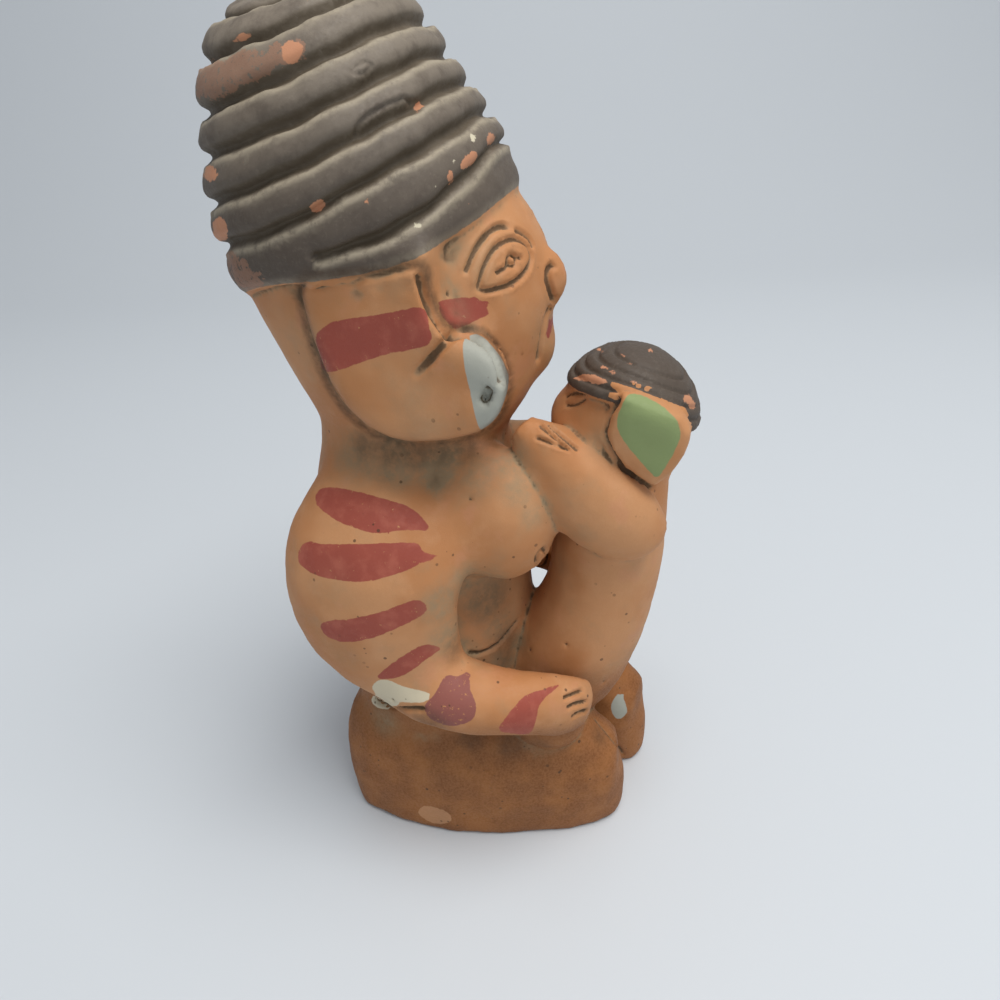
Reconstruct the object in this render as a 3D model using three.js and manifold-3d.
// A kneeling mother who nurses her child, a painted terracotta figure with a coiled turban.
// Everything was joined while the clay was soft and fired as one piece, so it is one solid.
// Millimetres, +Z up. The figure faces -Y, and the side with the red paint strokes is -X.
// The origin is the middle of the flat underside.

import * as THREE from 'three';
import { mergeVertices } from 'three/addons/utils/BufferGeometryUtils.js';
import Module from 'manifold-3d';

const wasm = await Module();
wasm.setup();

const TURN = Math.PI * 2;

// Value of a smooth run of numbers at a place from 0 to 1
function along(values, place) {
  const spot = Math.min(Math.max(place, 0), 1) * (values.length - 1);
  const start = Math.min(Math.floor(spot), values.length - 2);
  const part = spot - start;
  const before = values[Math.max(start - 1, 0)];
  const here = values[start];
  const next = values[start + 1];
  const after = values[Math.min(start + 2, values.length - 1)];
  const slopeHere = (next - before) / 2;
  const slopeNext = (after - here) / 2;
  const squared = part * part;
  const cubed = squared * part;
  return (
    (2 * cubed - 3 * squared + 1) * here +
    (cubed - 2 * squared + part) * slopeHere +
    (3 * squared - 2 * cubed) * next +
    (cubed - squared) * slopeNext
  );
}

// Point of a rounded square of size 1: power 2 is a circle, a higher power has fuller corners
function roundSection(angle, power) {
  const across = Math.cos(angle);
  const back = Math.sin(angle);
  const size = (Math.abs(across) ** power + Math.abs(back) ** power) ** (-1 / power);
  return [across * size, back * size];
}

// A closed solid from a geometry whose loose vertices are joined first
function solidOf(geometry) {
  geometry.deleteAttribute('normal');
  geometry.deleteAttribute('uv');
  const joined = mergeVertices(geometry, 1e-4);
  const index = joined.index.array;
  const triangles = [];
  for (let i = 0; i < index.length; i += 3) {
    const [a, b, c] = [index[i], index[i + 1], index[i + 2]];
    if (a !== b && b !== c && c !== a) {
      triangles.push(a, b, c);
    }
  }
  const mesh = new wasm.Mesh({
    numProp: 3,
    vertProperties: new Float32Array(joined.attributes.position.array),
    triVerts: new Uint32Array(triangles),
  });
  return new wasm.Manifold(mesh);
}

// Moves every vertex of a geometry to the place that a function gives for it
function reshape(geometry, place) {
  const position = geometry.attributes.position;
  const point = new THREE.Vector3();
  for (let i = 0; i < position.count; i += 1) {
    point.fromBufferAttribute(position, i);
    const moved = place(point);
    position.setXYZ(i, moved.x, moved.y, moved.z);
  }
  return geometry;
}

// The same form on the other side of the body
function mirrored(geometry) {
  const copy = geometry.clone();
  copy.scale(-1, 1, 1);
  const index = copy.index;
  const position = copy.attributes.position;
  if (index) {
    for (let i = 0; i < index.count; i += 3) {
      const swap = index.getX(i);
      index.setX(i, index.getX(i + 1));
      index.setX(i + 1, swap);
    }
    return copy;
  }
  const first = new THREE.Vector3();
  const second = new THREE.Vector3();
  for (let i = 0; i < position.count; i += 3) {
    first.fromBufferAttribute(position, i);
    second.fromBufferAttribute(position, i + 1);
    position.setXYZ(i, second.x, second.y, second.z);
    position.setXYZ(i + 1, first.x, first.y, first.z);
  }
  return copy;
}

// Surface point of a stack of level sections, at a place from 0 to 1 and an angle round it.
// Angle 0 is +X and a quarter turn is +Y. slope lifts the front or back of a section.
function stackPoint(levels, place, angle) {
  const value = (name, other) => along(levels.map((level) => level[name] ?? other), place);
  const [across, back] = roundSection(angle, value('power', 2));
  const depth = value('deep', 0) * back;
  return new THREE.Vector3(
    value('x', 0) + value('wide', 0) * across,
    value('y', 0) + depth,
    value('z', 0) + value('slope', 0) * depth,
  );
}

// A form built up from level sections, like a coil pot
function stackedForm(levels, around, rows) {
  const geometry = new THREE.CylinderGeometry(1, 1, 1, around, rows);
  return reshape(geometry, (point) => {
    const place = point.y + 0.5;
    const size = Math.hypot(point.x, point.z);
    if (size < 0.5) {
      const front = stackPoint(levels, place, -TURN / 4);
      const back = stackPoint(levels, place, TURN / 4);
      return front.add(back).multiplyScalar(0.5);
    }
    return stackPoint(levels, place, Math.atan2(-point.z, point.x));
  });
}

// A limb whose sections stand across its own line. wide is its size across the body, tall the other.
function limbForm(stations, around, rows) {
  const line = new THREE.CatmullRomCurve3(stations.map((station) => new THREE.Vector3(...station.at)));
  const geometry = new THREE.CylinderGeometry(1, 1, 1, around, rows);
  const up = new THREE.Vector3(0, 0, 1);
  return reshape(geometry, (point) => {
    const place = point.y + 0.5;
    const centre = line.getPoint(place);
    const forward = line.getTangent(place);
    const side = new THREE.Vector3().crossVectors(up, forward).normalize();
    const lift = new THREE.Vector3().crossVectors(forward, side);
    if (Math.hypot(point.x, point.z) < 0.5) {
      return centre;
    }
    const power = along(stations.map((station) => station.power ?? 2), place);
    const wide = along(stations.map((station) => station.wide), place);
    const tall = along(stations.map((station) => station.tall ?? station.wide), place);
    const [across, over] = roundSection(Math.atan2(-point.z, point.x), power);
    return centre.addScaledVector(side, wide * across).addScaledVector(lift, tall * over);
  });
}

// A ball with its own size along each axis
function ballForm(x, y, z, wide, deep, tall, around = 18, rows = 12) {
  const geometry = new THREE.SphereGeometry(1, around, rows);
  geometry.rotateX(TURN / 4);
  geometry.scale(wide, deep, tall);
  geometry.translate(x, y, z);
  return geometry;
}

// A round-bottomed tool run through soft clay along a line of points
function grooveForm(points, width, steps) {
  const line = new THREE.CatmullRomCurve3(points);
  const section = new THREE.Shape();
  const sides = 5;
  for (let i = 0; i < sides; i += 1) {
    const angle = (i / sides) * TURN;
    const x = (Math.cos(angle) * width) / 2;
    const y = (Math.sin(angle) * width) / 2;
    if (i === 0) {
      section.moveTo(x, y);
    } else {
      section.lineTo(x, y);
    }
  }
  section.closePath();
  return new THREE.ExtrudeGeometry(section, { extrudePath: line, steps, bevelEnabled: false });
}

// Kneeling legs: two thighs lie forward on the ground with their knees together.
// One knee stands a little further forward and higher than the other.
function thigh(kneeForward, kneeRise) {
  return limbForm(
    [
      { at: [-16, 44, 18], wide: 6, tall: 12 },
      { at: [-16.5, 40, 18], wide: 14, tall: 26, power: 2.3 },
      { at: [-17, 26, 16], wide: 18, tall: 34, power: 2.4 },
      { at: [-17, 4, 15], wide: 18.5, tall: 35, power: 2.4 },
      { at: [-15, -16, 14], wide: 16, tall: 31 + kneeRise / 2, power: 2.4 },
      { at: [-13, -31 - kneeForward, 11], wide: 13, tall: 25 + kneeRise, power: 2.6 },
      { at: [-11.5, -40.5 - kneeForward, 9], wide: 9, tall: 17 + kneeRise, power: 2.6 },
      { at: [-11, -44 - kneeForward, 9], wide: 3, tall: 7 },
    ],
    16,
    10,
  );
}

// Hips, belly, chest and neck. The lowest level closes the ground between her thighs.
const TORSO = [
  { z: -4, y: 8, wide: 22, deep: 27, power: 2.3 },
  { z: 28, y: 16, wide: 31, deep: 27, power: 2.3 },
  { z: 46, y: 15, wide: 32, deep: 28, power: 2.3 },
  { z: 60, y: 15, wide: 29, deep: 28.5 },
  { z: 78, y: 16, wide: 26, deep: 29 },
  { z: 96, y: 18.5, wide: 28, deep: 28 },
  { z: 112, y: 18.5, wide: 29, deep: 30 },
  { z: 122, y: 18.5, wide: 25, deep: 26.5 },
  { z: 131, y: 18, wide: 21, deep: 26 },
  { z: 140, y: 17, wide: 22, deep: 29 },
];

// The head widens from the neck up to the turban, with a steep face and a back that leans out
const HEAD = [
  { z: 127, y: 18, wide: 19, deep: 25, power: 2.2 },
  { z: 135, y: 16, wide: 22, deep: 27.5, power: 2.3 },
  { z: 143, y: 15, wide: 25, deep: 31.5, power: 2.3 },
  { z: 153, y: 15, wide: 27.5, deep: 34.5, power: 2.3, slope: -0.04 },
  { z: 163, y: 16, wide: 29, deep: 36, power: 2.3, slope: -0.12 },
  { z: 172, y: 19, wide: 29, deep: 35.5, power: 2.2, slope: -0.22 },
  { z: 179, y: 22, wide: 27, deep: 31.5, power: 2.1, slope: -0.3 },
];

// The upper arm is one heavy mass with the shoulder and the side of the back
function upperArm() {
  return stackedForm(
    [
      { z: 56, x: -30, y: 12, wide: 5, deep: 8 },
      { z: 61, x: -31, y: 15, wide: 9, deep: 17 },
      { z: 73, x: -32, y: 20.8, wide: 11.5, deep: 21.7 },
      { z: 86, x: -32, y: 23.2, wide: 12.5, deep: 23.3 },
      { z: 100, x: -31, y: 22, wide: 13, deep: 25 },
      { z: 112, x: -26, y: 20.5, wide: 13.5, deep: 24 },
      { z: 120, x: -19, y: 20, wide: 12, deep: 21 },
      { z: 126, x: -13, y: 20, wide: 7, deep: 14 },
    ],
    16,
    10,
  );
}

function forearm(lift) {
  return limbForm(
    [
      { at: [-31, 22, 68 + lift], wide: 9, tall: 10 },
      { at: [-34, 10, 65 + lift], wide: 11, tall: 11 },
      { at: [-35, -2, 63 + lift], wide: 10.5, tall: 10 },
      { at: [-34, -12, 61.5 + lift], wide: 9, tall: 9.2 },
      { at: [-31, -21, 59.5 + lift], wide: 7.5, tall: 9.5 },
      { at: [-27, -28, 56 + lift], wide: 6, tall: 9.5 },
      { at: [-23, -32.5, 54.5 + lift], wide: 4, tall: 7.5 },
    ],
    12,
    10,
  );
}

function breast(lift) {
  return ballForm(-15, -7 + lift / 3, 110 + lift, 15, 17.5, 19, 14, 9);
}

// Turban: one rope of clay coiled round and up, one entry for each turn. z is its height over the
// ears, and tilt is how much higher it is at the forehead and lower at the nape. It starts over the
// near ear with a blunt tip.
const TURBAN_TURNS = [
  { z: 175, tilt: 10.7, y: 21.2, wide: 35.5, deep: 31.9 },
  { z: 186, tilt: 11, y: 24.5, wide: 37, deep: 31.3 },
  { z: 194, tilt: 9.3, y: 27, wide: 36, deep: 29.5 },
  { z: 201.5, tilt: 7.5, y: 28.7, wide: 33.5, deep: 27.2 },
  { z: 208.8, tilt: 6.3, y: 30.3, wide: 30.5, deep: 24.6 },
  { z: 217, tilt: 4.5, y: 31.8, wide: 26, deep: 21.4 },
  { z: 223, tilt: 3, y: 32.5, wide: 18.5, deep: 16.5 },
  { z: 226, tilt: 1, y: 33, wide: 8, deep: 8 },
];
const RIM_AT_EARS = 0.35;
const TURBAN_TIP = 0.45;
const TURBAN_SAG = 2.5;
const TURBAN_GROOVE = 2.2;
const BAND_ROWS = [0, 0.16, 0.5, 0.84];
const BAND_SWELL = [0, 0.15, 0.4, 0.15];

// Edge between two bands of the turban, at a height counted in turns
function turbanEdge(height) {
  const last = TURBAN_TURNS.length - 1;
  const turns = Math.min(Math.max(height, 0), last);
  // The blunt tip has this share of the first band's height
  const lifted = turns > 0 && turns < 1 ? TURBAN_TIP + (1 - TURBAN_TIP) * turns : turns;
  const value = (name, place) => along(TURBAN_TURNS.map((turn) => turn[name]), place / last);
  return {
    z: value('z', lifted),
    tilt: value('tilt', lifted),
    level: Math.max(1 - turns, 0) * (1 - RIM_AT_EARS),
    sag: Math.min(turns, 1) * TURBAN_SAG,
    y: value('y', turns),
    wide: value('wide', turns),
    deep: value('deep', turns),
    groove: height > 0 && height < last ? TURBAN_GROOVE : 0,
  };
}

function turban() {
  const rowsPerTurn = BAND_ROWS.length;
  const around = 28;
  const rows = TURBAN_TURNS.length * rowsPerTurn;
  const geometry = new THREE.CylinderGeometry(1, 1, 1, around, rows);
  const { position, uv, normal } = geometry.attributes;
  for (let i = 0; i < position.count; i += 1) {
    const isCentre = Math.hypot(position.getX(i), position.getZ(i)) < 0.5;
    const isSide = Math.abs(normal.getY(i)) < 0.5;
    const turned = Math.atan2(position.getX(i), position.getZ(i)) / TURN;
    let column = Math.round((isSide ? uv.getX(i) : (turned + 1) % 1) * around);
    let row = Math.round((position.getY(i) + 0.5) * rows);
    if (column === around) {
      // A full turn along the coil is the same place as the start of the next band
      column = 0;
      row += rowsPerTurn;
    }
    const share = column / around;
    const low = turbanEdge(Math.floor(row / rowsPerTurn) - 1 + share);
    const high = turbanEdge(Math.floor(row / rowsPerTurn) + share);
    const mix = (name) => THREE.MathUtils.lerp(low[name], high[name], BAND_ROWS[row % rowsPerTurn]);
    const swell = row % rowsPerTurn === 0 ? -low.groove : BAND_SWELL[row % rowsPerTurn] * high.groove;
    const [across, back] = roundSection(TURN / 2 + share * TURN, 2.2);
    const size = isCentre ? 0 : 1;
    const tilt = mix('tilt') * back * (1 - mix('level') * (1 - back * back));
    const sag = mix('sag') * back * back;
    position.setXYZ(
      i,
      size * (mix('wide') + swell) * across,
      mix('y') + size * (mix('deep') + swell) * back,
      mix('z') + size * (sag - tilt),
    );
  }
  return geometry;
}

const EAR_FACE = 34.5;
const EAR_TURN = 0.07;

// A slab ear that hangs from under the turban and turns forward into an ear plug
function ear(toeForward) {
  const outline = new THREE.Shape();
  outline.moveTo(-1.5, 182);
  outline.lineTo(28.5, 178);
  outline.lineTo(26.5, 160);
  outline.quadraticCurveTo(23, 138.5, 4, 138.5);
  outline.quadraticCurveTo(-15 - toeForward, 141, -15.5 - toeForward, 153.5);
  outline.quadraticCurveTo(-14 - toeForward, 162.5, -5.5, 162);
  outline.lineTo(-1.5, 170);
  outline.closePath();
  const geometry = new THREE.ExtrudeGeometry(outline, {
    depth: 8,
    curveSegments: 5,
    bevelEnabled: true,
    bevelSize: 2,
    bevelThickness: 2,
    bevelOffset: -2,
    bevelSegments: 2,
  });
  // The outline was drawn in Y and Z, and the depth runs out to +X. The slab lies closer to the head
  // at the back, and its lower end stands away from the cheek.
  const place = (point) => {
    const outward = EAR_FACE - 10 + point.z - EAR_TURN * (point.x + 10);
    return new THREE.Vector3(outward, point.x, point.y);
  };
  return mirrored(reshape(geometry, place));
}

// Child: held upright in front of her, with its hands on her chest
function childHead() {
  return ballForm(0, -38.5, 132.5, 16, 17, 17.5, 16, 10);
}

// A close cap of three bands, tilted to the back of the head. It arches up over the ears.
const CAP_TILT = 0.34;
const CAP_ARCH = 0.02;

function childCap() {
  const bands = 3;
  const size = 18.3;
  const rim = 0.3;
  const profile = [new THREE.Vector2(0, size * rim)];
  for (let band = 0; band < bands; band += 1) {
    for (const [place, swell] of [[0, -0.7], [0.2, 0.15], [0.75, 0.15]]) {
      const lift = rim + ((1 - rim) * (band + place)) / bands;
      const angle = Math.asin(lift);
      profile.push(new THREE.Vector2(Math.cos(angle) * (size + swell), lift * (size + swell)));
    }
  }
  profile.push(new THREE.Vector2(0, size * 1.01));
  const geometry = new THREE.LatheGeometry(profile, 18);
  geometry.rotateX(TURN / 4);
  geometry.scale(0.92, 1, 1);
  geometry.rotateX(CAP_TILT);
  geometry.translate(0, -38.4, 132);
  return reshape(geometry, (point) => point.clone().setZ(point.z + CAP_ARCH * point.x * point.x));
}

function childBody() {
  return stackedForm(
    [
      { z: 36, x: 0, y: -21, wide: 14, deep: 14 },
      { z: 44, x: 0, y: -20.5, wide: 19, deep: 20 },
      { z: 56, x: 0, y: -24, wide: 19, deep: 21 },
      { z: 68, x: 0, y: -29.5, wide: 18, deep: 18.5 },
      { z: 80, x: 0, y: -33.5, wide: 17, deep: 16.2 },
      { z: 92, x: 0, y: -35.3, wide: 16.5, deep: 15.6 },
      { z: 104, x: 0, y: -36, wide: 16, deep: 15 },
      { z: 116, x: 0, y: -39, wide: 12, deep: 12 },
      { z: 124, x: 0, y: -39, wide: 8, deep: 10 },
    ],
    14,
    10,
  );
}

// The child's folded leg shows under her hand
function childLeg() {
  return ballForm(-20.5, -21.5, 43.5, 9.5, 11.5, 9, 12, 8);
}

function childArm(handDrop) {
  return limbForm(
    [
      { at: [-12, -14 - handDrop / 2, 134 - handDrop], wide: 4, tall: 4 },
      { at: [-13.5, -19 - handDrop / 3, 130 - handDrop * 0.8], wide: 6, tall: 8 },
      { at: [-15, -28, 120 - handDrop / 3], wide: 7.5, tall: 11.5 },
      { at: [-15.5, -38, 112], wide: 8, tall: 12 },
      { at: [-14, -46, 109], wide: 6.5, tall: 9.5 },
      { at: [-12, -50, 108], wide: 3, tall: 4 },
    ],
    10,
    9,
  );
}

// A flat slab for an ear, hung from the cap
function childEar(inset) {
  const outline = new THREE.Shape();
  outline.moveTo(-39, 146.5);
  outline.quadraticCurveTo(-34, 138, -36.5, 132);
  outline.quadraticCurveTo(-40, 126, -47.5, 122.5);
  outline.quadraticCurveTo(-54.5 + inset, 128, -55 + inset, 137.5);
  outline.lineTo(-52.5 + inset, 141.5);
  outline.closePath();
  const geometry = new THREE.ExtrudeGeometry(outline, {
    depth: 5,
    curveSegments: 3,
    bevelEnabled: true,
    bevelSize: 1.2,
    bevelThickness: 1.2,
    bevelOffset: -1.2,
    bevelSegments: 1,
  });
  // The outline was drawn in Y and Z, and the depth runs out to +X
  const place = (point) => new THREE.Vector3(12 - inset + point.z, point.x, point.y);
  return mirrored(reshape(geometry, place));
}

// Place on the near half of the face, for an X from the outer edge of the head to its middle
function faceAt(x, z) {
  let outer = TURN / 2;
  let middle = TURN * 0.75;
  let point = null;
  for (let search = 0; search < 24; search += 1) {
    const angle = (outer + middle) / 2;
    let low = 0;
    let high = 1;
    for (let step = 0; step < 24; step += 1) {
      const place = (low + high) / 2;
      point = stackPoint(HEAD, place, angle);
      if (point.z < z) {
        low = place;
      } else {
        high = place;
      }
    }
    if (point.x < x) {
      outer = angle;
    } else {
      middle = angle;
    }
  }
  return point;
}

// Nose: a small blunt bump
function nose() {
  return ballForm(0, -17.5, 167, 5, 6.5, 8, 10, 8);
}

// Mouth: a tall pad that stands a little proud of the face
function mouth() {
  return ballForm(0, -15.5, 152, 7.5, 5.5, 9, 10, 8);
}

// Eye: a drop-shaped line with its point at the outer corner
const EYE = { x: -21.5, z: 170.4, length: 16.5, width: 10.5, tilt: 0.4, line: 1.6 };

function eye() {
  const points = [];
  const steps = 14;
  for (let i = 0; i <= steps; i += 1) {
    const turn = (i / steps) * TURN;
    const reach = (EYE.length * (1 - Math.cos(turn))) / 2;
    const spread = (EYE.width / 2) * Math.sin(turn) * Math.sin(turn / 2) * 1.25;
    const x = EYE.x + reach * Math.cos(EYE.tilt) + spread * Math.sin(EYE.tilt);
    const z = EYE.z + reach * Math.sin(EYE.tilt) - spread * Math.cos(EYE.tilt);
    points.push(faceAt(x, z));
  }
  return grooveForm(points, EYE.line, steps);
}

function brow() {
  const curve = new THREE.QuadraticBezierCurve(
    new THREE.Vector2(-23.5, 173),
    new THREE.Vector2(-21, 181.5),
    new THREE.Vector2(-11, 181.5),
  );
  const points = curve.getPoints(5).map((point) => faceAt(point.x, point.y));
  return grooveForm(points, 1.6, 6);
}

// Line pressed round the side of the mouth, from the nose to the chin
function mouthLine() {
  const points = [];
  for (let step = 0; step <= 4; step += 1) {
    const place = step / 4;
    const x = -3.5 - 4 * Math.sin(place * Math.PI);
    points.push(faceAt(x, 161 - 15 * place).add(new THREE.Vector3(0, -0.4, 0)));
  }
  return grooveForm(points, 1.6, 5);
}

// Crease where the ear slab turns forward, and the hole in the ear plug
function earCrease() {
  const points = [[-6, 163.5], [-1.7, 160.5], [4, 155]];
  return grooveForm(points.map(([y, z]) => new THREE.Vector3(0.6 - EAR_FACE, y, z)), 2.4, 3);
}

function plugHole() {
  const geometry = new THREE.CylinderGeometry(1.4, 1.4, 10, 8);
  geometry.rotateZ(TURN / 4);
  geometry.scale(1, 0.8, 1.7);
  geometry.translate(-EAR_FACE, -11.5, 151.5);
  return geometry;
}

// Fingers: short lines across the end of each hand
function fingerLines() {
  const lines = [];
  for (let finger = 0; finger < 3; finger += 1) {
    const z = 62 - finger * 3.3;
    const start = new THREE.Vector3(-34, -26.5, z + 1);
    const end = new THREE.Vector3(-27, -34, z - 1);
    lines.push(grooveForm([start, end], 1.5, 1));
  }
  return lines;
}

function childFingerLines() {
  const lines = [];
  for (let finger = 0; finger < 2; finger += 1) {
    const lift = finger * 2.6;
    const start = new THREE.Vector3(-17.6 + lift, -16.5, 135.2 + lift);
    const end = new THREE.Vector3(-20.3 + lift, -26, 131 + lift);
    lines.push(grooveForm([start, end], 1.3, 1));
  }
  return lines;
}

function childEye() {
  const start = new THREE.Vector3(-10.5, -24.5, 141);
  const end = new THREE.Vector3(-13.5, -31, 143);
  return grooveForm([start, end], 1.2, 1);
}

function statueSolid() {
  const paired = [upperArm(), childLeg()];
  const forms = [
    stackedForm(TORSO, 18, 9),
    stackedForm(HEAD, 24, 9),
    nose(),
    mouth(),
    turban(),
    childHead(),
    childCap(),
    childBody(),
    thigh(0, 0),
    mirrored(thigh(5, 0.5)),
    forearm(0),
    mirrored(forearm(6.5)),
    breast(0),
    mirrored(breast(-6)),
    ear(0),
    mirrored(ear(-2)),
    childArm(0),
    mirrored(childArm(19)),
    childEar(0),
    mirrored(childEar(3)),
    ...paired,
    ...paired.map(mirrored),
  ];
  const pairedCuts = [
    eye(),
    brow(),
    mouthLine(),
    earCrease(),
    plugHole(),
    childEye(),
    ...fingerLines(),
    ...childFingerLines(),
  ];
  let statue = null;
  for (const geometry of forms) {
    const solid = solidOf(geometry);
    statue = statue ? statue.add(solid) : solid;
  }
  for (const geometry of [...pairedCuts, ...pairedCuts.map(mirrored)]) {
    statue = statue.subtract(solidOf(geometry));
  }
  const ground = new THREE.BoxGeometry(300, 300, 60);
  ground.translate(0, 0, -30);
  return statue.subtract(solidOf(ground));
}

function geometryOf(solid) {
  const mesh = solid.getMesh();
  const geometry = new THREE.BufferGeometry();
  geometry.setAttribute('position', new THREE.BufferAttribute(new Float32Array(mesh.vertProperties), 3));
  geometry.setIndex(new THREE.BufferAttribute(new Uint32Array(mesh.triVerts), 1));
  // The origin goes to the middle of the outline seen from above
  geometry.computeBoundingBox();
  const middle = geometry.boundingBox.getCenter(new THREE.Vector3());
  geometry.translate(-middle.x, -middle.y, 0);
  geometry.computeVertexNormals();
  return geometry;
}

const terracotta = new THREE.MeshStandardMaterial({ color: 0xb97a4e, roughness: 0.85, metalness: 0 });
const statue = new THREE.Mesh(geometryOf(statueSolid()), terracotta);
statue.name = 'nursing_mother_statue';

const group = new THREE.Group();
group.add(statue);

export default group;
